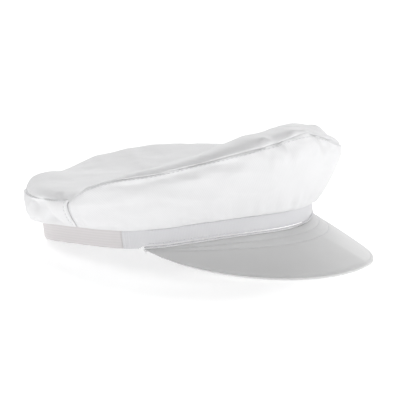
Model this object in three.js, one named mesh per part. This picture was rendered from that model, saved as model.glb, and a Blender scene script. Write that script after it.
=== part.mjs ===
// A soft sailor cap: a puffed crown of heavy white cotton on a ribbon band, an elastic strap round
// the back of the head and a short stiff peak. Millimetres, +Z up. The peak points along -Y and the
// wearer's right is -X. The cap stands as it rests on a table, on the back of its band and on the
// outer edge of its peak, so the band is pitched up a little at the front.
//
// Every piece is worked out from the band's lower line, in the cap's own frame: "turn" is the angle
// round the head from the front, positive towards the wearer's right, "out" is measured square to
// the band and "up" from the band's lower line.
import * as THREE from 'three';

// ---- driving dimensions -------------------------------------------------------------------------

const HEAD = { front: 87.6, rear: 112.4, side: 79.6, frontFullness: 2.03, rearFullness: 2.22 };
const BAND = { height: 13.35, thickness: 1.8, halfAngle: 92.5, wave: 1.31, waveTurn: 7.5 };
const WELT = { height: 1.4, depth: 1.8, proud: 0.5, halfAngle: 84 };
const PEAK = {
  reach: 54.5, thickness: 2.4, halfAngle: 84, vanish: 84.5, taper: 1.42, edge: 1.04,
  slopeFront: 32.2, slopeCorner: 61.5, inset: 1.0, leastReach: 1.2, camber: 1.2, softness: 0.25,
};
const CLOTH = 1.6;
const GAP = 0.3;
const PITCH = 7.12;

// The crown: how far its side panel is tucked inside the band and hangs over it, how wide the puffed
// rim of the top is, and where its middle sinks to.
const CROWN = { tuck: 5, hang: 6.5, rim: 20.3, middleBack: 10, middleUp: 40, sink: 1.6 };

// The seams: where the upright ones between the side panels meet the top seam, how much further back
// they meet the band, over how much of the panel they lean, and the groove along every seam.
const SEAM = { turn: 104, lean: 10, leanSpan: 35, dip: 0.8, width: 2.6 };

// Turns of the crown's shape round the head. reach: the top seam's distance out from the band.
// rise: its height above the band. puff: how far the top stands above its seam. belly: how full
// the side panel is below the seam.
const STATIONS = [
  { turn: -150, reach: 10.5, rise: 26.0, puff: 9.0, belly: 8.0 },
  { turn: -120, reach: 15.5, rise: 28.0, puff: 7.5, belly: 8.0 },
  { turn: -90, reach: 19.0, rise: 30.5, puff: 5.5, belly: 8.0 },
  { turn: -60, reach: 21.5, rise: 37.5, puff: 8.0, belly: 7.0 },
  { turn: -30, reach: 24.0, rise: 34.0, puff: 7.0, belly: 6.0 },
  { turn: -10, reach: 24.5, rise: 40.0, puff: 6.0, belly: 6.5 },
  { turn: 10, reach: 23.5, rise: 51.5, puff: 5.0, belly: 7.0 },
  { turn: 30, reach: 23.0, rise: 47.0, puff: 7.0, belly: 7.5 },
  { turn: 50, reach: 22.5, rise: 42.5, puff: 5.5, belly: 8.0 },
  { turn: 70, reach: 23.0, rise: 39.0, puff: 4.0, belly: 8.0 },
  { turn: 90, reach: 22.5, rise: 36.0, puff: 2.0, belly: 8.0 },
  { turn: 105, reach: 20.0, rise: 23.5, puff: 4.0, belly: 8.5 },
  { turn: 120, reach: 16.0, rise: 21.5, puff: 6.0, belly: 8.5 },
  { turn: 135, reach: 12.0, rise: 22.0, puff: 7.5, belly: 9.5 },
  { turn: 150, reach: 8.5, rise: 24.5, puff: 8.0, belly: 10.0 },
  { turn: 180, reach: 6.5, rise: 23.0, puff: 7.5, belly: 9.0 },
];

// Folds and dents in the crown. Each runs from one place to another, given as a turn and a level:
// level 0 is the side panel's lower edge, 1 the top seam and 2 the middle of the top. depth is
// outwards for a fold and inwards for a dent, and width is its half width.
const FOLDS = [
  { name: 'front fold', turn: 29, level: 1.14, toTurn: 21, toLevel: 0.78, depth: 2.6, width: 4.5 },
  { name: 'front crease', turn: 27, level: 0.97, toTurn: 16, toLevel: 0.76, depth: -2.2, width: 4.0 },
  { name: 'tip fold', turn: 17, level: 1.12, toTurn: -2, toLevel: 0.86, depth: 2.4, width: 4.5 },
  { name: 'tip crease', turn: 6, level: 0.98, toTurn: -6, toLevel: 0.82, depth: -1.8, width: 4.0 },
  { name: 'left front sag', turn: -38, level: 1.05, toTurn: -24, toLevel: 0.6, depth: -2.0, width: 7.0 },
  { name: 'left fold', turn: -62, level: 1.2, toTurn: -52, toLevel: 0.7, depth: 2.0, width: 7.0 },
  { name: 'left rear crease', turn: -128, level: 1.1, toTurn: -118, toLevel: 0.6, depth: -1.8, width: 6.0 },
  { name: 'right fold', turn: 52, level: 0.8, toTurn: 34, toLevel: 0.5, depth: -1.2, width: 6.0 },
  { name: 'right low crease', turn: 68, level: 0.6, toTurn: 57, toLevel: 0.52, depth: -1.2, width: 4.5 },
  { name: 'side seam pinch', turn: 103, level: 1.04, toTurn: 106, toLevel: 0.5, depth: -2.0, width: 5.0 },
  { name: 'rear dent', turn: 122, level: 0.86, toTurn: 119, toLevel: 0.5, depth: -3.0, width: 12.0 },
  { name: 'top hollow', turn: 100, level: 1.55, toTurn: 60, toLevel: 1.6, depth: -2.0, width: 18.0 },
];

// Millimetres of cloth to a degree of turn and to a level, to measure how far a place is from a fold.
const PER_TURN = 1.85;
const PER_LEVEL = 58;

// The grid that each sheet is drawn on: degrees round the head to a column, rows up the side panel,
// across the puffed rim and on to the middle of the top, and the peak's rows as shares of its reach.
const COLUMN = 5;
const SIDE_ROWS = 12;
const RIM_ROWS = 5;
const MIDDLE_ROWS = 6;
const RIM_LEVEL = 1.4;
const PEAK_SHARES = [0, 0.25, 0.5, 0.75, 0.985, 1];

const FINISHES = {
  cotton: { color: 0xf1f1f2, roughness: 0.9 },
  ribbon: { color: 0xd8d8db, roughness: 0.7 },
  elastic: { color: 0xe3dfe0, roughness: 0.75 },
};

// ---- small tools --------------------------------------------------------------------------------

const radians = THREE.MathUtils.degToRad;
const mix = THREE.MathUtils.lerp;
const bell = (distance, width) => Math.exp(-((distance / width) ** 2));

/** Whole steps of about the wanted size from one number to another, both ends included. */
function steps(from, to, size) {
  const count = Math.max(1, Math.round(Math.abs(to - from) / size));
  return Array.from({ length: count + 1 }, (_, i) => mix(from, to, i / count));
}

/** The two ends of a stretch round the head and every whole column between them. */
function columnsBetween(from, to) {
  const first = Math.floor(from / COLUMN) + 1;
  const count = Math.ceil(to / COLUMN) - first;
  const between = Array.from({ length: count }, (_, i) => (first + i) * COLUMN);
  return [from, ...between, to];
}

/** A column of the station table at any turn, on a smooth curve through the stations. */
function station(name, turn) {
  const first = STATIONS[0].turn;
  const place = THREE.MathUtils.euclideanModulo(turn - first, 360) + first;
  const count = STATIONS.length;
  const at = (i) => {
    const row = STATIONS[THREE.MathUtils.euclideanModulo(i, count)];
    return { turn: row.turn + 360 * Math.floor(i / count), value: row[name] };
  };
  let i = 0;
  while (i < count - 1 && at(i + 1).turn <= place) i += 1;
  const [before, low, high, after] = [at(i - 1), at(i), at(i + 1), at(i + 2)];
  const span = high.turn - low.turn;
  const u = (place - low.turn) / span;
  const lowSlope = ((high.value - before.value) / (high.turn - before.turn)) * span;
  const highSlope = ((after.value - low.value) / (after.turn - low.turn)) * span;
  return (2 * u ** 3 - 3 * u ** 2 + 1) * low.value + (u ** 3 - 2 * u ** 2 + u) * lowSlope
    + (3 * u ** 2 - 2 * u ** 3) * high.value + (u ** 3 - u ** 2) * highSlope;
}

/**
 * A closed sheet between an outer and an inner grid of points, given as columns of rows. A round
 * sheet's last column joins its first, and its last row is one point.
 */
function sheet(outer, inner, round = false) {
  const columns = outer.length;
  const rows = outer[0].length;
  const rings = round ? rows - 1 : rows;
  const size = columns * rings + (round ? 1 : 0);
  const points = [outer, inner].flatMap((grid) => [
    ...grid.flatMap((column) => column.slice(0, rings)),
    ...(round ? [grid[0][rings]] : []),
  ]);
  const at = (layer, c, r) => layer * size + (r === rings ? size - 1 : (c % columns) * rings + r);
  const faces = [];
  const quad = (a, b, c, d) => {
    faces.push(a, b, c);
    if (c !== d) faces.push(a, c, d);
  };
  for (let c = 0; c < (round ? columns : columns - 1); c += 1) {
    for (let r = 0; r < rows - 1; r += 1) {
      quad(at(0, c, r), at(0, c + 1, r), at(0, c + 1, r + 1), at(0, c, r + 1));
      quad(at(1, c + 1, r), at(1, c, r), at(1, c, r + 1), at(1, c + 1, r + 1));
    }
    quad(at(0, c, 0), at(1, c, 0), at(1, c + 1, 0), at(0, c + 1, 0));
    if (!round) quad(at(0, c, rows - 1), at(0, c + 1, rows - 1), at(1, c + 1, rows - 1), at(1, c, rows - 1));
  }
  for (let r = 0; !round && r < rows - 1; r += 1) {
    const c = columns - 1;
    quad(at(0, 0, r + 1), at(1, 0, r + 1), at(1, 0, r), at(0, 0, r));
    quad(at(1, c, r), at(1, c, r + 1), at(0, c, r + 1), at(0, c, r));
  }
  return closedGeometry(points, faces);
}

/** A geometry whose faces are turned to point out of the body that they close. */
function closedGeometry(points, faces) {
  let volume = 0;
  for (let f = 0; f < faces.length; f += 3) {
    const [a, b, c] = [points[faces[f]], points[faces[f + 1]], points[faces[f + 2]]];
    volume += a.dot(b.clone().cross(c));
  }
  const geometry = new THREE.BufferGeometry().setFromPoints(points);
  geometry.setIndex(volume < 0 ? faces.slice().reverse() : faces);
  geometry.computeVertexNormals();
  return geometry;
}

function piece(name, finish, geometry) {
  const material = new THREE.MeshStandardMaterial({ ...FINISHES[finish], metalness: 0 });
  const mesh = new THREE.Mesh(geometry, material);
  mesh.name = name;
  return mesh;
}

// ---- the band's line round the head -------------------------------------------------------------

/** A point of the cap's own frame, by its turn and its distances out from and up the band. */
function around(turn, out, up) {
  const across = Math.sin(radians(turn));
  const along = Math.cos(radians(turn));
  const ahead = along >= 0;
  const fullness = ahead ? HEAD.frontFullness : HEAD.rearFullness;
  const length = ahead ? HEAD.front : HEAD.rear;
  const x = -HEAD.side * Math.sign(across) * Math.abs(across) ** (2 / fullness);
  const y = -length * Math.sign(along) * Math.abs(along) ** (2 / fullness);
  const outwards = new THREE.Vector3(x / HEAD.side ** 2, y / length ** 2, 0).normalize();
  const bearing = Math.atan2(-x, -y);
  const wave = -BAND.wave * Math.cos(4 * bearing + radians(BAND.waveTurn));
  return new THREE.Vector3(x, y, wave + up).addScaledVector(outwards, out);
}

/** A flat strip on edge along the band's line, with softened edges. */
function strip(turns, { out, bottom, top, thickness }) {
  const soft = 0.25 * thickness;
  const face = (depth, inset) => turns.map((turn) => [
    around(turn, depth + inset, bottom(turn)),
    around(turn, depth, bottom(turn) + soft),
    around(turn, depth, top - soft),
    around(turn, depth + inset, top),
  ]);
  return sheet(face(out, -soft), face(out - thickness, soft));
}

// ---- crown --------------------------------------------------------------------------------------

/** How far folds and dents move the crown's cloth outwards at a turn and level. */
function relief(turn, level) {
  return FOLDS.reduce((sum, fold) => {
    const offset = THREE.MathUtils.euclideanModulo(turn - fold.turn + 180, 360) - 180;
    const place = new THREE.Vector2(offset * PER_TURN, (level - fold.level) * PER_LEVEL);
    const run = new THREE.Vector2(
      (fold.toTurn - fold.turn) * PER_TURN,
      (fold.toLevel - fold.level) * PER_LEVEL,
    );
    const along = THREE.MathUtils.clamp(place.dot(run) / run.lengthSq(), 0, 1);
    const distance = place.distanceTo(run.multiplyScalar(along));
    return sum + fold.depth * bell(distance, fold.width);
  }, 0);
}

/** The side panel's section at a turn, from inside the band, over its edge and up to the seam. */
function sideSection(turn) {
  const [reach, rise, belly] = ['reach', 'rise', 'belly'].map((name) => station(name, turn));
  const inside = -BAND.thickness - 2 * GAP;
  const waist = CROWN.hang + 0.42 * (reach - CROWN.hang) + 0.3 * belly;
  return new THREE.SplineCurve([
    new THREE.Vector2(inside, -CROWN.tuck),
    new THREE.Vector2(inside, -0.8),
    new THREE.Vector2(0.25 * inside, 0.9),
    new THREE.Vector2(0.5 * CROWN.hang, 0.1),
    new THREE.Vector2(CROWN.hang + 0.8, 1.6),
    new THREE.Vector2(waist, 0.36 * rise),
    new THREE.Vector2(0.93 * reach + 0.15 * belly, 0.78 * rise),
    new THREE.Vector2(reach, rise),
  ]);
}

/** The puffed rim of the top at a turn, from the seam inwards. */
function rimSection(turn) {
  const [reach, rise, puff] = ['reach', 'rise', 'puff'].map((name) => station(name, turn));
  return new THREE.SplineCurve([
    new THREE.Vector2(reach, rise),
    new THREE.Vector2(reach - 0.25 * CROWN.rim, rise + 0.68 * puff),
    new THREE.Vector2(reach - 0.62 * CROWN.rim, rise + 0.95 * puff),
    new THREE.Vector2(reach - CROWN.rim, rise + puff),
  ]);
}

/** The crown's smooth outer surface, before its folds. */
function smoothCrown(turn, level) {
  const place = (section, along) => {
    const { x, y } = section.getPoint(along);
    return around(turn, x, BAND.height + y);
  };
  if (level <= 1) return place(sideSection(turn), level);
  if (level <= RIM_LEVEL) return place(rimSection(turn), (level - 1) / (RIM_LEVEL - 1));
  const edge = place(rimSection(turn), 1);
  const inwards = (2 - level) / (2 - RIM_LEVEL);
  const middle = new THREE.Vector3(0, CROWN.middleBack, CROWN.middleUp);
  const point = middle.clone().lerp(edge, inwards);
  point.z = mix(middle.z, edge.z, inwards ** CROWN.sink);
  return point;
}

/** The crown's outward normal, taken across the seam as well as beside it. */
function crownNormal(turn, level) {
  const reach = 0.02;
  const centre = Math.abs(level - 1) < reach ? 1 : level;
  const round = smoothCrown(turn + 1, centre).sub(smoothCrown(turn - 1, centre));
  const up = smoothCrown(turn, Math.min(centre + reach, 1.98))
    .sub(smoothCrown(turn, Math.max(centre - reach, 0)));
  return up.cross(round).normalize();
}

/** The crown's outer face and its inner face at a turn and level, with folds and seam dips. */
function crownWall(turn, level) {
  const normal = level === 2 ? new THREE.Vector3(0, 0, 1) : crownNormal(turn, level);
  const seamDistance = Math.abs(level - 1) * PER_LEVEL;
  const tucked = THREE.MathUtils.smoothstep(level, 0.42, 0.6);
  const dip = SEAM.dip * bell(seamDistance, SEAM.width);
  const shift = tucked * relief(turn, level) * THREE.MathUtils.smoothstep(2 - level, 0, 0.4) - dip;
  const outer = smoothCrown(turn, level).addScaledVector(normal, shift);
  return { outer, inner: outer.clone().addScaledVector(normal, -CLOTH) };
}

/** How far the cloth near an upright seam leans back round the head below the top seam. */
function lean(turn, level) {
  const pull = [SEAM.turn, -SEAM.turn, 360 - SEAM.turn].reduce((sum, seam) => {
    const back = seam === SEAM.turn ? 1 : -1;
    return sum + back * bell(turn - seam, SEAM.leanSpan);
  }, 0);
  return SEAM.lean * Math.max(0, 1 - level) * pull;
}

function crownSheet(turns, levels, round) {
  const walls = turns.map((turn) => levels.map((level) => crownWall(turn + lean(turn, level), level)));
  const grid = (face) => walls.map((column) => column.map((wall) => wall[face]));
  return sheet(grid('outer'), grid('inner'), round);
}

function crownSide(name, from, to) {
  const turns = columnsBetween(from + 1.5 * GAP / PER_TURN, to - 1.5 * GAP / PER_TURN);
  const levels = steps(0, 1 - GAP / PER_LEVEL, 1 / SIDE_ROWS);
  return piece(name, 'cotton', crownSheet(turns, levels));
}

function crownTop() {
  const turns = steps(-180, 180 - COLUMN, COLUMN);
  const rim = steps(1 + GAP / PER_LEVEL, RIM_LEVEL, (RIM_LEVEL - 1) / RIM_ROWS);
  const middle = steps(RIM_LEVEL, 2, (2 - RIM_LEVEL) / MIDDLE_ROWS).slice(1);
  return piece('crown_top', 'cotton', crownSheet(turns, [...rim, ...middle], true));
}

// ---- band, strap, welt and peak -----------------------------------------------------------------

/** The ribbon's lower edge: above the welt, and down to the band's line past the peak's corners. */
function ribbonEdge(turn) {
  const past = THREE.MathUtils.smoothstep(Math.abs(turn), 85, 90);
  return mix(WELT.height + 2 * GAP, 0, past);
}

function headband() {
  const turns = columnsBetween(-BAND.halfAngle, BAND.halfAngle);
  const size = { out: 0, bottom: ribbonEdge, top: BAND.height, thickness: BAND.thickness };
  return piece('headband', 'ribbon', strip(turns, size));
}

function elasticStrap() {
  const end = BAND.halfAngle + GAP / PER_TURN;
  const size = { out: 0, bottom: () => 0, top: BAND.height, thickness: BAND.thickness };
  return piece('elastic_strap', 'elastic', strip(columnsBetween(end, 360 - end), size));
}

function peakWelt() {
  const turns = columnsBetween(-WELT.halfAngle, WELT.halfAngle);
  const size = { out: WELT.proud, bottom: () => GAP, top: GAP + WELT.height, thickness: WELT.depth };
  return piece('peak_welt', 'ribbon', strip(turns, size));
}

/** The peak's section at a turn: its reach from the band, its slope and its thickness at the edge. */
function peakSection(turn) {
  const share = Math.abs(turn) / PEAK.vanish;
  const reach = Math.max(PEAK.leastReach, PEAK.reach * (1 - share ** PEAK.taper) ** PEAK.edge);
  const slope = radians(mix(PEAK.slopeFront, PEAK.slopeCorner, share));
  return { reach, slope, edge: Math.min(PEAK.thickness, 0.3 * reach + 1) };
}

/** The peak: a cambered board from under the band out and down to its softened edge. */
function peak() {
  const columns = columnsBetween(-PEAK.halfAngle, PEAK.halfAngle).map((turn) => {
    const { reach, slope, edge } = peakSection(turn);
    const [run, drop] = [reach * Math.cos(slope), -reach * Math.sin(slope)];
    const place = (share, above) => {
      const camber = PEAK.camber * (reach / PEAK.reach) * 4 * share * (1 - share);
      const up = mix(-PEAK.thickness, drop, share) + camber;
      const thickness = mix(PEAK.thickness, edge, share) * above;
      return around(turn, mix(-PEAK.inset, run, share) + thickness * share * Math.sin(slope),
        up + thickness * mix(1, Math.cos(slope), share));
    };
    const rows = (layer, soft) => PEAK_SHARES.map((share) => place(share, share === 1 ? soft : layer));
    return { top: rows(1, 1 - PEAK.softness), under: rows(0, PEAK.softness) };
  });
  return piece('peak', 'cotton', sheet(columns.map(({ top }) => top), columns.map(({ under }) => under)));
}

// ---- the cap, pitched as it rests and standing on the floor -------------------------------------

const cap = new THREE.Group();
cap.add(crownTop());
cap.add(crownSide('crown_side_front', -SEAM.turn, SEAM.turn));
cap.add(crownSide('crown_side_rear', SEAM.turn, 360 - SEAM.turn));
cap.add(headband());
cap.add(elasticStrap());
cap.add(peakWelt());
cap.add(peak());
cap.rotation.x = radians(-PITCH);

const sailorCap = new THREE.Group();
sailorCap.add(cap);
sailorCap.updateMatrixWorld(true);
const box = new THREE.Box3().setFromObject(sailorCap, true);
const middle = box.getCenter(new THREE.Vector3());
cap.position.set(-middle.x, -middle.y, -box.min.z);

export default sailorCap;
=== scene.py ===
"""A soft white sailor cap resting on a table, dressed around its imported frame.

The cap is a puffed cotton crown of three sewn panels on a ribbon band, with an elastic strap round
the back, a folded welt and a short stiff peak. Sizes are millimetres in the cap's own frame, which
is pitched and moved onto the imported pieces, and metres in the scene.
"""

import logging
import math
from dataclasses import dataclass
from enum import Enum
from typing import Callable, Sequence

import bmesh
import bpy
import numpy as np
from mathutils import Matrix, Vector, kdtree, noise


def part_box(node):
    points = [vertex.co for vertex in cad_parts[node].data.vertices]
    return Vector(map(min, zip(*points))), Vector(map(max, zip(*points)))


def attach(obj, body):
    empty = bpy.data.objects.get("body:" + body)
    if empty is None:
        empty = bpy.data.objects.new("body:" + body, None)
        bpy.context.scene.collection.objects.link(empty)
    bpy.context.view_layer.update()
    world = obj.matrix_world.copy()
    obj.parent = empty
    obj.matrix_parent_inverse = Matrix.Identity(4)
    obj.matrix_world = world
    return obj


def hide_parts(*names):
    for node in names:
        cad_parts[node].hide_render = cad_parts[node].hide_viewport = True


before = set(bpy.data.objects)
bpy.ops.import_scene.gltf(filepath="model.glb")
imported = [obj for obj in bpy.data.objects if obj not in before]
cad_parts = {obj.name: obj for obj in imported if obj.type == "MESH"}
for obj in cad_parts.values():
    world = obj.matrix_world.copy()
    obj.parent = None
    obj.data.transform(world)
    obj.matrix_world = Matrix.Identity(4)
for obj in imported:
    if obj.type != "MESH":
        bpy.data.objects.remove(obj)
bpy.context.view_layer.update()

logging.basicConfig(level=logging.INFO, format="%(message)s")
log = logging.getLogger("sailor_cap")

MM = 0.001
Array = np.ndarray


# ---- materials ------------------------------------------------------------------------------------


class Weave(Enum):
    """How a cloth's threads run, and so which way its fine ridges go."""

    TWILL = "twill"
    CROSS_RIB = "cross_rib"
    LENGTH_RIB = "length_rib"
    PLAIN = "plain"


def linear(hex_colour: str) -> tuple[float, float, float, float]:
    """Turns an sRGB hex colour linear.

    Args:
        hex_colour: Six hex digits after a hash.

    Returns:
        The linear red, green and blue, and an alpha of one.
    """
    parts = [int(hex_colour[i : i + 2], 16) / 255 for i in (1, 3, 5)]
    red, green, blue = (p / 12.92 if p <= 0.04045 else ((p + 0.055) / 1.055) ** 2.4 for p in parts)
    return red, green, blue, 1.0


def add_node(tree: bpy.types.NodeTree, kind: str, settings: dict, links: dict) -> bpy.types.Node:
    """Adds one node with its settings and its incoming links.

    Args:
        tree: The material's node tree.
        kind: The node's type name.
        settings: Node attributes, or input names with their values.
        links: Input names with the output sockets that feed them.

    Returns:
        The new node.
    """
    node = tree.nodes.new(kind)
    for name, value in settings.items():
        if isinstance(name, str) and hasattr(node, name):
            setattr(node, name, value)
        else:
            node.inputs[name].default_value = value
    for name, socket in links.items():
        tree.links.new(socket, node.inputs[name])
    return node


@dataclass(frozen=True)
class ClothFinish:
    """A woven finish: its colour, its soft sheen and the size of its threads.

    The weave is drawn on the piece's own map, whose unit is ten millimetres, so that it follows
    the cloth round folds.
    """

    name: str
    colour: str
    shade: str
    roughness: float
    sheen: float
    weave: Weave
    pitch: float
    relief: float
    mottle: float = 14.0

    def threads(self, tree: bpy.types.NodeTree) -> bpy.types.NodeSocket:
        """Draws the weave's ridges.

        Args:
            tree: The material's node tree.

        Returns:
            A socket of ridge height, from nought to one.
        """
        per_unit = 10 / self.pitch
        turn = {Weave.TWILL: math.radians(45), Weave.LENGTH_RIB: math.radians(90)}
        uv = add_node(tree, "ShaderNodeUVMap", {"uv_map": "cloth"}, {}).outputs["UV"]
        laid = add_node(
            tree, "ShaderNodeMapping", {"Rotation": (0, 0, turn.get(self.weave, 0.0))}, {"Vector": uv}
        ).outputs["Vector"]
        # A wave band repeats every 2 pi / 20 of its coordinate at a scale of one.
        bands = {"wave_type": "BANDS", "Scale": per_unit * math.pi / 10, "Distortion": 0.6, "Detail": 1.0}
        ridges = add_node(
            tree, "ShaderNodeTexWave", {**bands, "bands_direction": "X"}, {"Vector": laid}
        ).outputs["Fac"]
        if self.weave is not Weave.PLAIN:
            return ridges
        across = add_node(
            tree, "ShaderNodeTexWave", {**bands, "bands_direction": "Y"}, {"Vector": laid}
        ).outputs["Fac"]
        return add_node(
            tree, "ShaderNodeMath", {"operation": "MAXIMUM"}, {0: ridges, 1: across}
        ).outputs["Value"]

    def material(self) -> bpy.types.Material:
        """Builds the finish once, and gives the same material after that.

        Returns:
            The cloth's material.
        """
        if self.name in bpy.data.materials:
            return bpy.data.materials[self.name]
        made = bpy.data.materials.new(self.name)
        made.use_nodes = True
        tree = made.node_tree
        shader = tree.nodes["Principled BSDF"]
        shader.inputs["Sheen Weight"].default_value = self.sheen
        shader.inputs["Sheen Roughness"].default_value = 0.5
        shader.inputs["Specular IOR Level"].default_value = 0.25
        place = add_node(tree, "ShaderNodeTexCoord", {}, {}).outputs["Object"]
        blotch = add_node(
            tree, "ShaderNodeTexNoise", {"Scale": 1000 / self.mottle, "Detail": 3.0}, {"Vector": place}
        ).outputs["Fac"]
        threads = self.threads(tree)
        body = add_node(tree, "ShaderNodeMix", {"data_type": "RGBA"}, {"Factor": blotch})
        set_mix_colours(body, linear(self.shade), linear(self.colour))
        # Painted shade: the base colour is darkened by up to four per cent in the hollows between the
        # threads, where the weave's own shade falls.
        weave_groove_shade = add_node(tree, "ShaderNodeMapRange", {"To Min": 0.96, "To Max": 1.0}, {"Value": threads})
        shaded = add_node(
            tree,
            "ShaderNodeVectorMath",
            {"operation": "SCALE"},
            {0: body.outputs[2], "Scale": weave_groove_shade.outputs["Result"]},
        )
        tree.links.new(shaded.outputs["Vector"], shader.inputs["Base Color"])
        rough = add_node(
            tree,
            "ShaderNodeMapRange",
            {"To Min": self.roughness + 0.04, "To Max": self.roughness - 0.04},
            {"Value": threads},
        )
        tree.links.new(rough.outputs["Result"], shader.inputs["Roughness"])
        fuzz = add_node(
            tree, "ShaderNodeTexNoise", {"Scale": 1000 / 1.6, "Detail": 4.0}, {"Vector": place}
        ).outputs["Fac"]
        height = add_node(
            tree, "ShaderNodeMath", {"operation": "MULTIPLY_ADD", 1: 0.5}, {0: fuzz, 2: threads}
        ).outputs["Value"]
        bump = add_node(
            tree, "ShaderNodeBump", {"Strength": 0.5, "Distance": self.relief * MM}, {"Height": height}
        )
        tree.links.new(bump.outputs["Normal"], shader.inputs["Normal"])
        return made


def set_mix_colours(node: bpy.types.Node, first: Sequence[float], second: Sequence[float]) -> None:
    """Sets a colour mix's two colours, whose sockets share their names with its number inputs.

    Args:
        node: A Mix node of colours.
        first: The colour at a factor of nought.
        second: The colour at a factor of one.
    """
    colours = [socket for socket in node.inputs if socket.type == "RGBA"]
    colours[0].default_value = first
    colours[1].default_value = second


# White cotton drill, washed soft: matt, with a fine diagonal rib that only shows close to.
COTTON = ClothFinish("cotton_twill", "#f4f4f5", "#eeeeef", 0.88, 0.2, Weave.TWILL, 0.9, 0.07)
# Woven polyester ribbon: smoother and cooler than the crown, with upright ribs.
RIBBON = ClothFinish("woven_ribbon", "#e6e6e8", "#e0e0e3", 0.62, 0.15, Weave.CROSS_RIB, 1.1, 0.10)
# Knitted elastic: rubber cores show as ribs along its length, and it is a little warmer in colour.
ELASTIC = ClothFinish("knitted_elastic", "#e6e2e3", "#e0dddd", 0.74, 0.15, Weave.LENGTH_RIB, 1.1, 0.05)
# The same cotton drawn tight over a board, so that it lies flat and a little smoother; its colour is set
# darker than the crown's cotton as painted shade.
SHADED_PEAK_COTTON = ClothFinish("board_cotton_shaded", "#e6e6e6", "#e1e1e1", 0.78, 0.2, Weave.PLAIN, 0.8, 0.08)
# Polyester sewing thread, a little glossier than the cloth it lies in.
THREAD = ClothFinish("sewing_thread", "#e8e8ea", "#e0e0e3", 0.55, 0.1, Weave.CROSS_RIB, 0.7, 0.05)


# ---- the cap's shape ------------------------------------------------------------------------------


@dataclass(frozen=True)
class Station:
    """A turn of the crown's shape: its seam's reach and rise, its top's puff and its side's belly."""

    turn: float
    reach: float
    rise: float
    puff: float
    belly: float


@dataclass(frozen=True)
class Fold:
    """A fold or a dent from one turn and level to another, with its depth and half width."""

    turn: float
    level: float
    to_turn: float
    to_level: float
    depth: float
    width: float


STATIONS = (
    Station(-150, 10.5, 26.0, 9.0, 8.0),
    Station(-120, 15.5, 28.0, 7.5, 8.0),
    Station(-90, 19.0, 30.5, 5.5, 8.0),
    Station(-60, 21.5, 37.5, 8.0, 7.0),
    Station(-30, 24.0, 34.0, 7.0, 6.0),
    Station(-10, 24.5, 40.0, 6.0, 6.5),
    Station(10, 23.5, 51.5, 5.0, 7.0),
    Station(30, 23.0, 47.0, 7.0, 7.5),
    Station(50, 22.5, 42.5, 5.5, 8.0),
    Station(70, 23.0, 39.0, 4.0, 8.0),
    Station(90, 22.5, 36.0, 2.0, 8.0),
    Station(105, 20.0, 23.5, 4.0, 8.5),
    Station(120, 16.0, 21.5, 6.0, 8.5),
    Station(135, 12.0, 22.0, 7.5, 9.5),
    Station(150, 8.5, 24.5, 8.0, 10.0),
    Station(180, 6.5, 23.0, 7.5, 9.0),
)

FOLDS = (
    # Folds that cross the front of the top seam, with the creases beside them.
    Fold(30, 1.10, 23, 0.88, 2.3, 3.2),
    Fold(26, 1.01, 19, 0.87, -2.3, 3.2),
    Fold(33, 1.00, 29, 0.89, -1.6, 2.8),
    Fold(17, 1.08, 6, 0.91, 1.9, 3.2),
    Fold(8, 1.00, 1, 0.89, -1.7, 2.7),
    Fold(-2, 1.08, -10, 0.93, 1.2, 3.0),
    # The limp left front and left side.
    Fold(-38, 1.05, -24, 0.60, -2.0, 7.0),
    Fold(-48, 1.16, -40, 0.80, 1.6, 4.0),
    Fold(-62, 1.20, -52, 0.70, 2.0, 7.0),
    Fold(-84, 1.12, -76, 0.72, -1.6, 5.0),
    Fold(-104, 1.10, -110, 0.62, -1.4, 4.0),
    Fold(-128, 1.10, -118, 0.60, -1.8, 6.0),
    Fold(-150, 1.08, -144, 0.66, 1.4, 5.0),
    # Long shallow wrinkles in the right side.
    Fold(52, 0.80, 34, 0.50, -1.1, 5.0),
    Fold(68, 0.60, 56, 0.50, -1.1, 3.6),
    Fold(64, 0.66, 50, 0.58, 0.7, 3.2),
    Fold(92, 0.56, 80, 0.50, -0.9, 3.4),
    Fold(84, 0.86, 60, 0.92, -1.0, 5.0),
    Fold(46, 0.90, 30, 0.84, -0.8, 4.0),
    Fold(90, 0.91, 42, 0.91, -1.1, 3.0),
    # The pinch at the right seam and the dent behind it.
    Fold(103, 1.04, 106, 0.50, -2.0, 4.4),
    Fold(110, 1.14, 104, 0.98, -1.6, 2.6),
    Fold(98, 1.16, 96, 0.94, 0.9, 3.0),
    Fold(122, 0.84, 120, 0.60, -5.0, 9.0),
    Fold(129, 0.90, 127, 0.84, -1.6, 2.2),
    Fold(146, 0.92, 140, 0.62, 1.4, 5.0),
    Fold(168, 0.96, 172, 0.60, -1.2, 5.0),
    Fold(-168, 0.96, -164, 0.66, -1.0, 4.0),
    # The top: a broad hollow on the right, and soft folds that run in from the rim.
    Fold(100, 1.55, 60, 1.60, -2.0, 18.0),
    Fold(-40, 1.20, -44, 1.45, 1.2, 9.0),
    Fold(-96, 1.20, -84, 1.45, -1.2, 9.0),
    Fold(150, 1.20, 158, 1.45, 1.0, 8.0),
)


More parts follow.
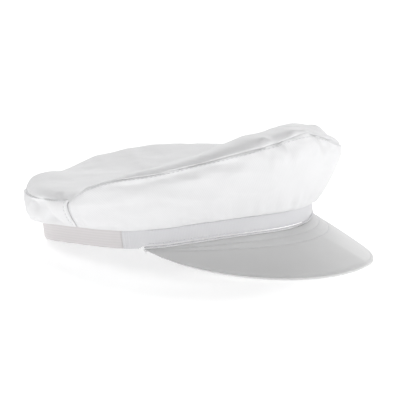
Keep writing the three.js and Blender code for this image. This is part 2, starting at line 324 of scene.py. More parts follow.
@dataclass(frozen=True)
class HeadLine:
    """The band's lower line round the head, and the way the whole cap is pitched at rest."""

    front: float = 87.6
    rear: float = 112.4
    side: float = 79.6
    front_fullness: float = 2.03
    rear_fullness: float = 2.22
    wave: float = 1.31
    wave_turn: float = 7.5
    pitch: float = 7.12

    def around(self, turn: Array, out: Array, up: Array) -> Array:
        """Places points by turn, distance out from the band and height up it.

        Args:
            turn: Degrees round the head from the front, positive to the wearer's right.
            out: Millimetres out from the band.
            up: Millimetres up from the band's lower line.

        Returns:
            Points in the cap's own frame, in millimetres, with a last axis of three.
        """
        turn, out, up = np.broadcast_arrays(turn, out, up)
        across, along = np.sin(np.radians(turn)), np.cos(np.radians(turn))
        ahead = along >= 0
        fullness = np.where(ahead, self.front_fullness, self.rear_fullness)
        length = np.where(ahead, self.front, self.rear)
        x = -self.side * np.sign(across) * np.abs(across) ** (2 / fullness)
        y = -length * np.sign(along) * np.abs(along) ** (2 / fullness)
        slant_x, slant_y = x / self.side**2, y / length**2
        size = np.hypot(slant_x, slant_y)
        wave = -self.wave * np.cos(4 * np.arctan2(-x, -y) + math.radians(self.wave_turn))
        return np.stack([x + out * slant_x / size, y + out * slant_y / size, wave + up], axis=-1)

    def pitched(self, points: Array) -> Array:
        """Tips points back about the X axis, from the cap's own frame to the way it rests.

        Args:
            points: Points in the cap's own frame.

        Returns:
            The same points, pitched.
        """
        tip = math.radians(self.pitch)
        x, y, z = points[..., 0], points[..., 1], points[..., 2]
        return np.stack(
            [x, y * math.cos(tip) + z * math.sin(tip), z * math.cos(tip) - y * math.sin(tip)], axis=-1
        )


@dataclass(frozen=True)
class BandSizes:
    """The band, strap and welt, in millimetres and degrees."""

    height: float = 13.35
    thickness: float = 1.8
    half_angle: float = 92.5
    welt_height: float = 1.4
    welt_depth: float = 1.8
    welt_proud: float = 0.5
    welt_half_angle: float = 84.0
    gap: float = 0.3


HEAD = HeadLine()
BAND = BandSizes()


def placement() -> Vector:
    """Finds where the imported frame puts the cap's own frame, from the strap's box.

    Returns:
        The shift from the pitched cap to the scene, in metres.
    """
    end = BAND.half_angle + BAND.gap / 1.85
    turns = np.linspace(end, 360 - end, 181)[:, None]
    up = np.array([0.0, BAND.height])[None, :]
    own = [HEAD.pitched(HEAD.around(turns, out, up)) for out in (0.0, -BAND.thickness)]
    points = np.concatenate([p.reshape(-1, 3) for p in own]) * MM
    low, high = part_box("elastic_strap")
    return (low + high) / 2 - Vector((points.min(0) + points.max(0)) / 2)


SHIFT = np.array(placement())


def to_scene(points: Array) -> Array:
    """Takes points from the cap's own frame, in millimetres, to the scene, in metres."""
    return HEAD.pitched(points) * MM + SHIFT


@dataclass(frozen=True)
class CrownShape:
    """The crown's outer surface as a function of turn and level.

    Level nought is the side panel's lower edge inside the band, one is the top seam and two is the
    middle of the top.
    """

    tuck: float = 5.0
    hang: float = 6.5
    rim: float = 20.3
    middle_back: float = 10.0
    middle_up: float = 40.0
    sink: float = 1.6
    rim_level: float = 1.4
    seam_turn: float = 104.0
    seam_lean: float = 10.0
    lean_span: float = 35.0
    seam_dip: float = 1.0
    seam_width: float = 1.7
    per_turn: float = 1.85
    per_level: float = 58.0
    pucker: float = 0.42
    gather: float = 0.55
    # Depth, then size round the head and size upwards.
    creases: tuple[tuple[float, float, float], ...] = ((1.0, 30.0, 15.0), (0.45, 15.0, 6.0))

    def station(self, name: str, turn: Array) -> Array:
        """Reads a column of the stations at any turn, on a smooth curve.

        Args:
            name: The column's name.
            turn: Turns in degrees.

        Returns:
            The column's value at each turn.
        """
        at = np.array([s.turn for s in STATIONS])
        value = np.array([getattr(s, name) for s in STATIONS])
        at = np.concatenate([[at[-1] - 360], at, at[:2] + 360])
        value = np.concatenate([[value[-1]], value, value[:2]])
        place = (turn - STATIONS[0].turn) % 360 + STATIONS[0].turn
        i = np.clip(np.searchsorted(at, place, side="right") - 1, 1, len(at) - 3)
        span = at[i + 1] - at[i]
        u = (place - at[i]) / span
        low = (value[i + 1] - value[i - 1]) / (at[i + 1] - at[i - 1]) * span
        high = (value[i + 2] - value[i]) / (at[i + 2] - at[i]) * span
        return (
            (2 * u**3 - 3 * u**2 + 1) * value[i]
            + (u**3 - 2 * u**2 + u) * low
            + (3 * u**2 - 2 * u**3) * value[i + 1]
            + (u**3 - u**2) * high
        )

    @staticmethod
    def through(knots: Sequence[tuple[Array, Array]], along: Array) -> tuple[Array, Array]:
        """Runs a smooth curve through knots.

        Args:
            knots: Pairs of out and up, each an array over the columns.
            along: Places on the curve, from nought to one.

        Returns:
            The curve's out and up at those places.
        """
        outs = np.stack([np.broadcast_to(k[0], along.shape) for k in knots])
        ups = np.stack([np.broadcast_to(k[1], along.shape) for k in knots])
        last = len(knots) - 1
        place = np.clip(along, 0, 1) * last
        i = np.minimum(place.astype(int), last - 1)
        u = place - i
        result = []
        for values in (outs, ups):
            p0, p1, p2, p3 = (
                np.take_along_axis(values, np.clip(i + k, 0, last)[None], 0)[0] for k in (-1, 0, 1, 2)
            )
            v0, v1 = (p2 - p0) / 2, (p3 - p1) / 2
            result.append(
                (2 * p1 - 2 * p2 + v0 + v1) * u**3 + (-3 * p1 + 3 * p2 - 2 * v0 - v1) * u**2 + v0 * u + p1
            )
        return result[0], result[1]

    def smooth(self, turn: Array, level: Array) -> Array:
        """The crown's outer surface before its folds, in the cap's own frame.

        Args:
            turn: Turns in degrees.
            level: Levels of the same shape.

        Returns:
            Points with a last axis of three.
        """
        turn, level = np.broadcast_arrays(turn, level)
        reach, rise, puff, belly = (
            self.station(name, turn) for name in ("reach", "rise", "puff", "belly")
        )
        inside = -BAND.thickness - 2 * BAND.gap
        side = [
            (inside, -self.tuck),
            (inside, -0.8),
            (0.25 * inside, 0.9),
            (0.5 * self.hang, 0.1),
            (self.hang + 0.8, 1.6),
            (self.hang + 0.42 * (reach - self.hang) + 0.3 * belly, 0.36 * rise),
            (0.93 * reach + 0.15 * belly, 0.78 * rise),
            (reach, rise),
        ]
        top = [
            (reach, rise),
            (reach - 0.25 * self.rim, rise + 0.68 * puff),
            (reach - 0.62 * self.rim, rise + 0.95 * puff),
            (reach - self.rim, rise + puff),
        ]
        side_out, side_up = self.through(side, np.clip(level, 0, 1))
        top_out, top_up = self.through(top, (level - 1) / (self.rim_level - 1))
        below = level <= 1
        edge = HEAD.around(
            turn, np.where(below, side_out, top_out), BAND.height + np.where(below, side_up, top_up)
        )
        inwards = np.clip((2 - level) / (2 - self.rim_level), 0, 1)[..., None]
        middle = np.array([0.0, self.middle_back, self.middle_up])
        sunk = middle + (edge - middle) * np.concatenate([inwards, inwards, inwards**self.sink], axis=-1)
        return np.where((level > self.rim_level)[..., None], sunk, edge)

    def normal(self, turn: Array, level: Array) -> Array:
        """The outward normal of the smooth surface, taken across the top seam.

        Args:
            turn: Turns in degrees.
            level: Levels of the same shape.

        Returns:
            Unit normals.
        """
        reach = 0.02
        centre = np.where(np.abs(level - 1) < reach, 1.0, np.minimum(level, 1.97))
        around = self.smooth(turn + 1, centre) - self.smooth(turn - 1, centre)
        upwards = self.smooth(turn, centre + reach) - self.smooth(turn, np.maximum(centre - reach, 0))
        normal = np.cross(upwards, around)
        return normal / np.maximum(np.linalg.norm(normal, axis=-1, keepdims=True), 1e-9)

    def relief(self, turn: Array, level: Array) -> Array:
        """How far the folds and dents move the cloth.

        Args:
            turn: Turns in degrees.
            level: Levels of the same shape.

        Returns:
            Millimetres outwards.
        """
        total = np.zeros(np.broadcast(turn, level).shape)
        for fold in FOLDS:
            across = ((turn - fold.turn + 180) % 360 - 180) * self.per_turn
            along = (level - fold.level) * self.per_level
            run = np.array(
                [(fold.to_turn - fold.turn) * self.per_turn, (fold.to_level - fold.level) * self.per_level]
            )
            share = np.clip((across * run[0] + along * run[1]) / (run @ run), 0, 1)
            distance = np.hypot(across - share * run[0], along - share * run[1])
            total += fold.depth * np.exp(-((distance / fold.width) ** 2))
        return total

    def puckers(self, turn: Array, level: Array) -> Array:
        """Small ripples where the thread draws the seams and the gathered lower edge.

        Args:
            turn: Turns in degrees.
            level: Levels of the same shape.

        Returns:
            Millimetres outwards.
        """
        round_head = np.radians(turn)
        drawn = sum(
            np.sin(k * round_head + phase) for k, phase in ((61, 0.4), (83, 2.1), (47, 4.0), (29, 1.2))
        )
        gathered = sum(
            np.sin(k * round_head + phase) for k, phase in ((37, 1.0), (53, 3.3), (23, 5.1), (71, 0.2))
        )
        from_seam = np.abs(level - 1) * self.per_level
        swell = 0.55 + 0.45 * np.sin(5 * round_head + 0.8)
        seam = self.pucker * swell * drawn / 2 * np.exp(-((from_seam / 5.5) ** 2))
        low = self.gather * gathered / 2 * np.exp(-(((level - 0.56) * self.per_level / 6.5) ** 2))
        broad = 0.2 * np.sin(9 * round_head + 7 * level) + 0.15 * np.sin(14 * round_head - 11 * level + 2)
        return seam + low + broad * np.clip((level - 0.6) * 4, 0, 1)

    def crumple(self, points: Array) -> Array:
        """The fine creases of washed cloth, which run mostly round the head.

        Args:
            points: Points of the smooth surface, in millimetres.

        Returns:
            Millimetres outwards, about nought.
        """
        total = np.zeros(points.shape[:-1])
        for depth, along, across in self.creases:
            spots = (points / np.array([along, along, across])).reshape(-1, 3)
            height = np.array([noise.noise(Vector(spot)) for spot in spots]).reshape(total.shape)
            total += depth * (0.35 - np.sqrt(height**2 + 0.004) * 1.6)
        return total

    def point(self, turn: Array, level: Array, lift: float = 0.0) -> Array:
        """The crown's finished outer surface.

        Args:
            turn: Turns in degrees.
            level: Levels of the same shape.
            lift: Millimetres further out along the normal.

        Returns:
            Points in the cap's own frame.
        """
        turn, level = np.broadcast_arrays(np.asarray(turn, float), np.asarray(level, float))
        shown = np.clip((level - 0.42) / 0.18, 0, 1) ** 2
        inner = np.clip((1.95 - level) / 0.5, 0, 1) ** 2
        from_seam = np.abs(level - 1) * self.per_level
        dip = self.seam_dip * np.exp(-((from_seam / self.seam_width) ** 2))
        side = (level < 1) & (level > 0.4)
        upright = [np.abs((turn - self.leaned(s, level) + 180) % 360 - 180) for s in self.upright_seams()]
        from_upright = np.minimum(*upright) * self.per_turn
        dip += np.where(side, 0.9 * np.exp(-((from_upright / self.seam_width) ** 2)), 0.0) * shown
        base = self.smooth(turn, level)
        round_folds = (self.relief(turn, level) + self.puckers(turn, level)) * inner
        shift = shown * (round_folds + self.crumple(base)) - dip + lift
        return base + self.normal(turn, level) * shift[..., None]

    def upright_seams(self) -> tuple[float, float]:
        """The turns of the two upright seams at the top seam."""
        return self.seam_turn, -self.seam_turn

    def leaned(self, turn: Array, level: Array) -> Array:
        """Leans the cloth near an upright seam back round the head, below the top seam.

        Args:
            turn: Turns in degrees at the top seam.
            level: Levels of the same shape.

        Returns:
            The turns at those levels.
        """
        turn = np.asarray(turn, float)
        pull = sum(
            back * np.exp(-(((turn - seam) / self.lean_span) ** 2))
            for seam, back in ((self.seam_turn, 1), (-self.seam_turn, -1), (360 - self.seam_turn, -1))
        )
        return turn + self.seam_lean * np.clip(1 - level, 0, 1) * pull


CROWN = CrownShape()


# ---- mesh making ----------------------------------------------------------------------------------


def drawn_sheet(
    name: str,
    across: Sequence[float],
    upward: Sequence[float],
    place: Callable[[Array, Array], Array],
    scale: tuple[float, float],
    weld: bool = False,
) -> bpy.types.Object:
    """Draws a grid of cloth, places it by a function and gives it a map in real sizes.

    Args:
        name: The new object's name.
        across: Values of the grid's first measure, from the wearer's left to right.
        upward: Values of its second measure.
        place: Gives points in the cap's own frame for grids of both measures.
        scale: Millimetres of cloth to a unit of each measure, for the map.
        weld: Whether edges that meet are joined, on a sheet that closes on itself.

    Returns:
        The object, linked to the scene, with its faces out.
    """
    first, second = np.meshgrid(np.asarray(across, float)[::-1], np.asarray(upward, float))
    mesh = bpy.data.meshes.new(name)
    sheet = bmesh.new()
    bmesh.ops.create_grid(
        sheet, x_segments=first.shape[1] - 1, y_segments=first.shape[0] - 1, size=1.0
    )
    points = to_scene(place(first, second)).reshape(-1, 3)
    points[:, 2] = np.maximum(points[:, 2], 0.0)
    flat = np.stack([first.ravel() * scale[0], second.ravel() * scale[1]], axis=-1) / 10
    sheet.to_mesh(mesh)
    sheet.free()
    count = len(mesh.vertices)
    corners = np.zeros(count * 3)
    mesh.vertices.foreach_get("co", corners)
    corners = corners.reshape(-1, 3)
    columns, rows = first.shape[1] - 1, first.shape[0] - 1
    column = np.rint((corners[:, 0] + 1) / 2 * columns).astype(int)
    row = np.rint((corners[:, 1] + 1) / 2 * rows).astype(int)
    place_of = row * (columns + 1) + column
    mesh.vertices.foreach_set("co", points[place_of].ravel())
    layer = mesh.uv_layers.new(name="cloth")
    vertex_of = np.zeros(len(mesh.loops), int)
    mesh.loops.foreach_get("vertex_index", vertex_of)
    layer.data.foreach_set("uv", flat[place_of][vertex_of].ravel())
    if weld:
        welded = bmesh.new()
        welded.from_mesh(mesh)
        bmesh.ops.remove_doubles(welded, verts=welded.verts, dist=2e-5)
        welded.to_mesh(mesh)
        welded.free()
    mesh.polygons.foreach_set("use_smooth", np.ones(len(mesh.polygons), bool))
    mesh.update()
    made = bpy.data.objects.new(name, mesh)
    bpy.context.scene.collection.objects.link(made)
    return made


def thicken(piece: bpy.types.Object, thickness: float, taper: float, least: float) -> None:
    """Gives a sheet its thickness inwards, pressed thin at its sewn edges.

    Args:
        piece: The sheet.
        thickness: Its wall in millimetres.
        taper: How far from an edge the wall reaches its full thickness, in millimetres.
        least: The share of the thickness that is left at an edge.
    """
    sheet = bmesh.new()
    sheet.from_mesh(piece.data)
    border = [vertex.co.copy() for vertex in sheet.verts if vertex.is_boundary]
    sheet.free()
    edges = kdtree.KDTree(len(border))
    for i, place in enumerate(border):
        edges.insert(place, i)
    edges.balance()
    group = piece.vertex_groups.new(name="wall")
    for vertex in piece.data.vertices:
        away = min(edges.find(vertex.co)[2] / (taper * MM), 1.0)
        group.add([vertex.index], least + (1 - least) * away, "REPLACE")
    wall = piece.modifiers.new("wall", "SOLIDIFY")
    wall.thickness = thickness * MM
    wall.offset = -1.0
    wall.use_rim = True
    wall.vertex_group = group.name


def dress(piece: bpy.types.Object, finish: ClothFinish, slot: str, *nodes: str) -> bpy.types.Object:
    """Gives a piece its finish and ties it to the frame.

    Args:
        piece: The finished object.
        finish: Its finish.
        slot: Not used.
        nodes: The frame's nodes that it stands for.

    Returns:
        The piece.
    """
    piece.data.materials.clear()
    piece.data.materials.append(finish.material())
    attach(piece, "root")
    if nodes:
        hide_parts(*nodes)
    log.info("%s: %d faces", piece.name, len(piece.data.polygons))
    return piece


def spaced(path: Array, pitch: float) -> tuple[Array, Array]:
    """Spaces places evenly along a path.

    Args:
        path: Points in metres.
        pitch: The wanted spacing in millimetres.

    Returns:
        The places' points and the path's directions there.
    """
    steps = np.linalg.norm(np.diff(path, axis=0), axis=1)
    run = np.concatenate([[0], np.cumsum(steps)])
    count = max(2, int(run[-1] / (pitch * MM)))
    wanted = (np.arange(count) + 0.5) / count * run[-1]
    points = np.stack([np.interp(wanted, run, path[:, k]) for k in range(3)], axis=-1)
    ahead = np.stack([np.interp(wanted + 2e-4, run, path[:, k]) for k in range(3)], axis=-1)
    behind = np.stack([np.interp(wanted - 2e-4, run, path[:, k]) for k in range(3)], axis=-1)
    direction = ahead - behind
    return points, direction / np.linalg.norm(direction, axis=1, keepdims=True)


def stitch_row(name: str, paths: Sequence[Array], pitch: float, thick: float) -> bpy.types.Object:
    """Sews rows of stitches along paths.

    Args:
        name: The new object's name.
        paths: Paths in metres on the cloth.
        pitch: Millimetres from one stitch to the next.
        thick: The thread's thickness in millimetres.

    Returns:
        One object that holds all the stitches.
    """
    sewn = bmesh.new()
    for path in paths:
        for point, direction in zip(*spaced(path, pitch)):
            turn = Vector((1, 0, 0)).rotation_difference(Vector(direction)).to_matrix().to_4x4()
            size = Matrix.Diagonal((0.36 * pitch * MM, 0.5 * thick * MM, 0.5 * thick * MM, 1))
            bmesh.ops.create_uvsphere(
                sewn, u_segments=6, v_segments=5, radius=1.0,
                matrix=Matrix.Translation(Vector(point)) @ turn @ size, calc_uvs=False,
            )
    mesh = bpy.data.meshes.new(name)
    for face in sewn.faces:
        face.smooth = True
    sewn.to_mesh(mesh)
    sewn.free()
    mesh.uv_layers.new(name="cloth")
    made = bpy.data.objects.new(name, mesh)
    bpy.context.scene.collection.objects.link(made)
    return made


# ---- crown ----------------------------------------------------------------------------------------


@dataclass
class Crown:
    """The crown's three panels and the stitching beside their seams."""

    column: float = 1.0
    wall: float = 1.4
    taper: float = 9.0
    least_wall: float = 0.06
    seam_gap: float = 0.22
    stitch_below: float = 2.6
    stitch_pitch: float = 3.0
    thread: float = 0.55

    def side_levels(self) -> Array:
        """Levels up a side panel, closer together near the seam.

        Returns:
            The levels.
        """
        edge = 1 - self.seam_gap / CROWN.per_level
        return np.concatenate(
            [np.linspace(0, 0.3, 7)[:-1], np.linspace(0.3, 0.9, 52)[:-1], np.linspace(0.9, edge, 14)]
        )

    def top_levels(self) -> Array:
        """Levels from the seam to the middle of the top, closer together near the seam.

        Returns:
            The levels.
        """
        edge = 1 + self.seam_gap / CROWN.per_level
        return np.concatenate(
            [np.linspace(edge, 1.1, 14)[:-1], np.linspace(1.1, 1.4, 20)[:-1], np.linspace(1.4, 2, 34)]
        )

    def panel(self, name: str, low: float, high: float) -> bpy.types.Object:
        """Draws a side panel between two upright seams.

        Args:
            name: The frame's node that it stands for.
            low: The turn of its first seam.
            high: The turn of its last seam.

        Returns:
            The dressed panel.
        """
        trim = self.seam_gap / CROWN.per_turn
        turns = np.linspace(low + trim, high - trim, int((high - low) / self.column) + 1)
        piece = drawn_sheet(
            f"{name}_cloth",
            turns,
            self.side_levels(),
            lambda turn, level: CROWN.point(CROWN.leaned(turn, level), level),
            (CROWN.per_turn, CROWN.per_level),
        )
        thicken(piece, self.wall, self.taper, self.least_wall)
        return dress(piece, COTTON, "cotton", name)

    def top(self) -> bpy.types.Object:
        """Draws the round top panel.

        Returns:
            The dressed panel.
        """
        piece = drawn_sheet(
            "crown_top_cloth",
            np.linspace(-180, 180, int(360 / self.column) + 1),
            self.top_levels(),
            CROWN.point,
            (CROWN.per_turn, CROWN.per_level),
            weld=True,
        )
        thicken(piece, self.wall, self.taper, self.least_wall)
        return dress(piece, COTTON, "cotton", "crown_top")

    def stitching(self) -> bpy.types.Object:
        """Sews the row below the top seam and the rows beside the upright seams.

        Returns:
            The dressed stitches.
        """
        turns = np.linspace(-180, 180, 721)
        level = 1 - self.stitch_below / CROWN.per_level
        paths = [to_scene(CROWN.point(turns, level + 0 * turns, 0.05))]
        levels = np.linspace(0.56, 0.94, 60)
        for seam in CROWN.upright_seams():
            beside = seam + math.copysign(self.stitch_below / CROWN.per_turn, seam)
            paths.append(to_scene(CROWN.point(CROWN.leaned(beside + 0 * levels, levels), levels, 0.05)))
        return dress(stitch_row("crown_stitching", paths, self.stitch_pitch, self.thread), THREAD, "cotton")

    def build(self) -> None:
        """Makes the crown."""
        self.top()
        self.panel("crown_side_front", -CROWN.seam_turn, CROWN.seam_turn)
        self.panel("crown_side_rear", CROWN.seam_turn, 360 - CROWN.seam_turn)
        self.stitching()


# ---- band, strap and welt -------------------------------------------------------------------------


@dataclass
class Band:
    """The ribbon band, the elastic strap sewn to its ends and the welt under the ribbon."""

    column: float = 1.0
    bow: float = 0.35
    hem: float = 2.6
    hem_proud: float = 0.4
    ripple: float = 0.35

    @staticmethod
    def loop(height: float, thickness: float, bow: float, soft: float = 0.7) -> Array:
        """The section of a flat strip: out and up round its closed outline.

        Args:
            height: The strip's height.
            thickness: Its thickness.
            bow: How far its outer face bows out.
            soft: The radius of its edges.

        Returns:
            Pairs of out and up, closed on themselves, with the outer face first.
        """
        share = np.linspace(0, 1, 13)
        outer = np.stack([bow * 4 * share * (1 - share), soft + share * (height - 2 * soft)], axis=-1)
        inner = np.stack([np.full(13, -thickness), outer[::-1, 1]], axis=-1)
        turn = np.linspace(0, math.pi, 7)[1:-1]
        half = thickness / 2
        crest = np.stack([-half + half * np.cos(turn), height - soft + soft * np.sin(turn)], axis=-1)
        foot = np.stack([-half - half * np.cos(turn), soft - soft * np.sin(turn)], axis=-1)
        return np.concatenate([outer, crest, inner, foot, outer[:1]])

    def strip(
        self,
        name: str,
        turns: Array,
        section: Array,
        low: Callable[[Array], Array],
        proud: Callable[[Array], Array],
        tall: float,
    ) -> bpy.types.Object:
        """Draws a flat strip along the band's line and closes its ends.

        Args:
            name: The new object's name.
            turns: The columns' turns.
            section: Pairs of out and up from the strip's lower edge.
            low: The lower edge's height at a turn.
            proud: How far the strip stands out at a turn.
            tall: The section's full height.

        Returns:
            The object.
        """

        def place(turn: Array, row: Array) -> Array:
            """Places the strip.

            Args:
                turn: Turns in degrees.
                row: Places in the section.

            Returns:
                Points in the cap's own frame.
            """
            out, up = section[row.astype(int), 0], section[row.astype(int), 1]
            bottom = low(turn)
            lifted = bottom + up * (tall - bottom) / tall
            return HEAD.around(turn, out + proud(turn), lifted)

        piece = drawn_sheet(name, turns, np.arange(len(section)), place, (1.6, 0.6), weld=True)
        close_ends(piece)
        return piece

    def ribbon(self) -> bpy.types.Object:
        """The headband, whose ends are hemmed over the strap.

        Returns:
            The dressed headband.
        """
        half = BAND.half_angle
        turns = np.concatenate(
            [[-half], np.arange(-half + 0.25, -half + 2.2, 0.25), np.arange(-90, 90.1, self.column),
             np.arange(half - 2, half, 0.25), [half]]
        )
        turns = np.unique(np.round(turns, 3))
        lift = BAND.welt_height + 2 * BAND.gap

        def low(turn: Array) -> Array:
            """The lower edge's height, which drops past the ends of the welt."""
            past = np.clip((np.abs(turn) - 84.2) / 3.0, 0, 1)
            return lift * (1 - past**2 * (3 - 2 * past))

        def proud(turn: Array) -> Array:
            """How far the hems stand out."""
            end = np.clip((half - np.abs(turn)) * 1.4 / self.hem, 0, 1)
            return self.hem_proud * np.where(end < 1, 1 - end**6, 0.0)

        piece = self.strip(
            "headband_ribbon",
            turns,
            self.loop(BAND.height, BAND.thickness, self.bow),
            low,
            proud,
            BAND.height,
        )
        return dress(piece, RIBBON, "ribbon", "headband")

    def strap(self) -> bpy.types.Object:
        """The elastic strap, slightly rippled where it is relaxed.

        Returns:
            The dressed strap.
        """
        end = BAND.half_angle + 0.12
        turns = np.arange(end, 360 - end, self.column)

        def proud(turn: Array) -> Array:
            """How far the relaxed elastic ripples.

            Args:
                turn: Turns in degrees.

            Returns:
                Millimetres outwards.
            """
            rest = np.clip((turn - end) / 12, 0, 1) * np.clip((360 - end - turn) / 12, 0, 1)
            wave = np.sin(np.radians(turn) * 31) + 0.6 * np.sin(np.radians(turn) * 19 + 1)
            return -0.25 + self.ripple * 0.5 * rest * wave

        section = self.loop(BAND.height, BAND.thickness - 0.3, 0.1)
        piece = self.strip("elastic_band", turns, section, np.zeros_like, proud, BAND.height)
        return dress(piece, ELASTIC, "elastic", "elastic_strap")

    def welt(self) -> bpy.types.Object:
        """The folded strip that shows as a light line between the ribbon and the peak.

        Returns:
            The dressed welt.
        """
        half = BAND.welt_half_angle
        turns = np.linspace(-half, half, int(2 * half / self.column) + 1)
        section = self.loop(BAND.welt_height, BAND.welt_depth, 0.25, soft=0.5)
        section = section + np.array([BAND.welt_proud, 0])
        piece = self.strip("welt_fold", turns, section, np.zeros_like, np.zeros_like, BAND.welt_height)
        for vertex in piece.data.vertices:
            vertex.co.z += BAND.gap * MM
        return dress(piece, RIBBON, "ribbon", "peak_welt")

    def stitching(self) -> bpy.types.Object:
        """Sews two short rows through each end of the ribbon and one row inside each long edge.

        Returns:
            The dressed stitches.
        """
        paths = []
        ups = np.linspace(1.0, BAND.height - 1.0, 20)
        for side in (-1, 1):
            for inset in (0.7, 2.0):
                turn = side * (BAND.half_angle - inset / 1.4)
                out = self.bow * 0.4 + (self.hem_proud if inset < 1 else 0.25) + 0.05
                paths.append(to_scene(HEAD.around(turn + 0 * ups, out, ups)))
        turns = np.linspace(-82, 82, 400)
        low = BAND.welt_height + 2 * BAND.gap + 1.3
        for up in (low, BAND.height - 1.3):
            paths.append(to_scene(HEAD.around(turns, 0.2, up)))
        return dress(stitch_row("band_stitching", paths, 2.4, 0.55), THREAD, "ribbon")

    def build(self) -> None:
        """Makes the band."""
        self.ribbon()
        self.strap()
        self.welt()
        self.stitching()


def close_ends(piece: bpy.types.Object) -> None:
    """Fills a tube's open ends and turns all its faces out.

    Args:
        piece: The tube.
    """
    closed = bmesh.new()
    closed.from_mesh(piece.data)
    open_edges = [edge for edge in closed.edges if edge.is_boundary]
    bmesh.ops.holes_fill(closed, edges=open_edges, sides=0)
    bmesh.ops.recalc_face_normals(closed, faces=closed.faces)
    closed.to_mesh(piece.data)
    closed.free()


# ---- peak -----------------------------------------------------------------------------------------


@dataclass
class Peak:
    """The cloth-covered board of the peak and its rows of stitching."""

    reach: float = 54.5
    thickness: float = 2.4
    half_angle: float = 84.0
    vanish: float = 84.5
    taper: float = 1.42
    edge: float = 1.04
    slope_front: float = 32.2
    slope_corner: float = 61.5
    inset: float = 1.0
    least_reach: float = 1.2
    camber: float = 1.2
    column: float = 1.0
    rows: tuple[float, ...] = (0.14, 0.30)
    edge_rows: tuple[float, ...] = (0.955,)
    groove: float = 0.45

    def section(self, turn: Array) -> tuple[Array, Array, Array]:
        """The peak's section at a turn.

        Args:
            turn: Turns in degrees.

        Returns:
            The reach, the slope in radians and the thickness at the edge.
        """
        share = np.abs(turn) / self.vanish
        reach = np.maximum(self.least_reach, self.reach * np.clip(1 - share**self.taper, 0, 1) ** self.edge)
        slope = np.radians(self.slope_front + (self.slope_corner - self.slope_front) * share)
        return reach, slope, np.minimum(self.thickness, 0.3 * reach + 1)

    def place(self, turn: Array, share: Array, above: Array) -> Array:
        """A point of the board.

        Args:
            turn: Turns in degrees.
            share: Shares of the reach, from the band to the edge.
            above: Shares of the thickness, nought on the underside.

        Returns:
            Points in the cap's own frame.
        """
        reach, slope, edge = self.section(turn)
        run, drop = reach * np.cos(slope), -reach * np.sin(slope)
        camber = self.camber * (reach / self.reach) * 4 * share * (1 - share)
        thickness = (self.thickness + (edge - self.thickness) * share) * above
        groove = sum(np.exp(-(((share - row) * reach / 0.9) ** 2)) for row in self.rows + self.edge_rows)
        thickness = thickness - self.groove * groove * (above > 0.5) * np.clip(reach / 20, 0, 1)
        out = -self.inset + (run + self.inset) * share + thickness * share * np.sin(slope)
        up = -self.thickness + (drop + self.thickness) * share + camber
        up = up + thickness * (1 + (np.cos(slope) - 1) * share)
        return HEAD.around(turn, out, up)

    def outline(self) -> Array:
        """The board's section as shares and heights: over the top, round the edge and back under.

        Returns:
            Pairs of share and height.
        """
        top = np.linspace(0, 0.985, 60)
        round_edge = np.linspace(math.pi / 2, -math.pi / 2, 9)[1:-1]
        lip = np.stack([0.985 + 0.015 * np.cos(round_edge), 0.5 + 0.5 * np.sin(round_edge)], axis=-1)
        return np.concatenate(
            [
                np.stack([top, np.ones_like(top)], axis=-1),
                lip,
                np.stack([top[::-3], np.zeros_like(top[::-3])], axis=-1),
                [[0.0, 0.0]],
                [[0.0, 1.0]],
            ]
        )

    def build(self) -> None:
        """Makes the peak and its stitching."""
        outline = self.outline()[::-1]
        half = self.half_angle
        turns = np.linspace(-half, half, int(2 * half / self.column) + 1)

        def place(turn: Array, row: Array) -> Array:
            """Places the outline's rows at their turns."""
            pick = row.astype(int)
            return self.place(turn, outline[pick, 0], outline[pick, 1])

        piece = drawn_sheet("peak_board", turns, np.arange(len(outline)), place, (1.8, 0.9), weld=True)
        close_ends(piece)
        dress(piece, SHADED_PEAK_COTTON, "peak_cloth", "peak")
        paths = []
        for share in self.rows + self.edge_rows:
            reach = 74 if share in self.edge_rows else 64
            across = np.linspace(-reach, reach, 400)
            lifted = 1.0 + 0 * across
            paths.append(to_scene(self.place(across, share + 0 * across, lifted)))
        dress(stitch_row("peak_stitching", paths, 3.0, 0.6), THREAD, "peak_cloth")


# ---- studio ---------------------------------------------------------------------------------------


@dataclass(frozen=True)
class Lamp:
    """A broad soft studio light: where it stands from the cap in degrees, and its strength."""

    azimuth: float
    elevation: float
    strength: float


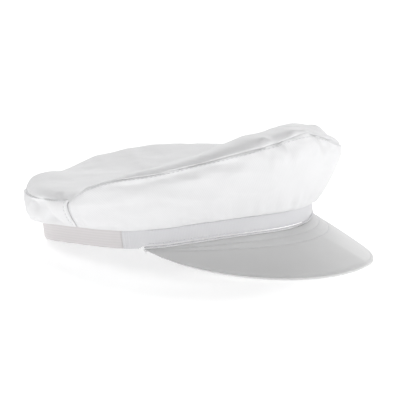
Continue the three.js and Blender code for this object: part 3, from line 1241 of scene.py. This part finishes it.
@dataclass
class Studio:
    """The pale floor, the soft lights and the camera."""

    azimuth: float = -60.0
    elevation: float = 12.0
    distance: float = 1100.0
    aim_up: float = 30.0
    focal: float = 139.3
    shift: tuple[float, float] = (0.02125, 0.01125)
    floor_colour: str = "#f7f7f7"
    sky: float = 0.2
    floor_glow: float = 0.45
    softness: float = 50.0
    lamps: tuple[Lamp, ...] = (
        Lamp(azimuth=115, elevation=42, strength=1.95),
        Lamp(azimuth=32, elevation=12, strength=1.25),
        Lamp(azimuth=-85, elevation=8, strength=0.55),
        Lamp(azimuth=-40, elevation=10, strength=0.45),
        Lamp(azimuth=180, elevation=25, strength=0.7),
    )

    @staticmethod
    def direction(azimuth: float, elevation: float) -> Vector:
        """The way from the cap to a light or camera at an azimuth and elevation in degrees."""
        turn, rise = math.radians(azimuth), math.radians(elevation)
        return Vector((math.sin(turn) * math.cos(rise), -math.cos(turn) * math.cos(rise), math.sin(rise)))

    def aimed(self, thing: bpy.types.Object, place: Vector, target: Vector) -> None:
        """Puts a light or camera at a place, looking at a target.

        Args:
            thing: The light or camera.
            place: Where it stands.
            target: What it looks at.
        """
        thing.location = place
        thing.rotation_euler = (target - place).to_track_quat("-Z", "Y").to_euler()
        bpy.context.scene.collection.objects.link(thing)

    def camera(self, target: Vector) -> None:
        """Sets up the camera.

        Args:
            target: What it looks at.
        """
        lens = bpy.data.cameras.new("camera")
        lens.lens = self.focal
        lens.shift_x, lens.shift_y = self.shift
        camera = bpy.data.objects.new("camera", lens)
        self.aimed(camera, target + self.direction(self.azimuth, self.elevation) * self.distance * MM, target)
        bpy.context.scene.camera = camera

    def floor(self) -> None:
        """Lays a wide pale floor at the height that the cap stands on."""
        flat = bmesh.new()
        bmesh.ops.create_grid(flat, x_segments=1, y_segments=1, size=6.0)
        mesh = bpy.data.meshes.new("floor")
        flat.to_mesh(mesh)
        flat.free()
        floor = bpy.data.objects.new("floor", mesh)
        bpy.context.scene.collection.objects.link(floor)
        paint = bpy.data.materials.new("pale_floor")
        paint.use_nodes = True
        shader = paint.node_tree.nodes["Principled BSDF"]
        shader.inputs["Base Color"].default_value = linear(self.floor_colour)
        shader.inputs["Roughness"].default_value = 0.9
        shader.inputs["Specular IOR Level"].default_value = 0.1
        shader.inputs["Emission Color"].default_value = (1.0, 1.0, 1.0, 1.0)
        shader.inputs["Emission Strength"].default_value = self.floor_glow
        mesh.materials.append(paint)

    def build(self) -> None:
        """Makes the studio around the cap."""
        target = Vector((SHIFT[0], SHIFT[1], self.aim_up * MM))
        self.camera(target)
        self.floor()
        for i, lamp in enumerate(self.lamps):
            light = bpy.data.lights.new(f"lamp_{i}", "SUN")
            light.angle = math.radians(self.softness)
            light.energy = lamp.strength
            place = target + self.direction(lamp.azimuth, lamp.elevation)
            self.aimed(bpy.data.objects.new(f"lamp_{i}", light), place, target)
        world = bpy.data.worlds.new("studio")
        world.use_nodes = True
        back = world.node_tree.nodes["Background"]
        back.inputs["Color"].default_value = (1.0, 1.0, 1.0, 1.0)
        back.inputs["Strength"].default_value = self.sky
        bpy.context.scene.world = world
        bpy.context.scene.view_settings.view_transform = "Standard"


def main() -> None:
    """Builds the studio and the cap in order."""
    Studio().build()
    for part in (Crown(), Band(), Peak()):
        part.build()
        log.info("built %s", type(part).__name__)


if __name__ == "__main__":
    main()
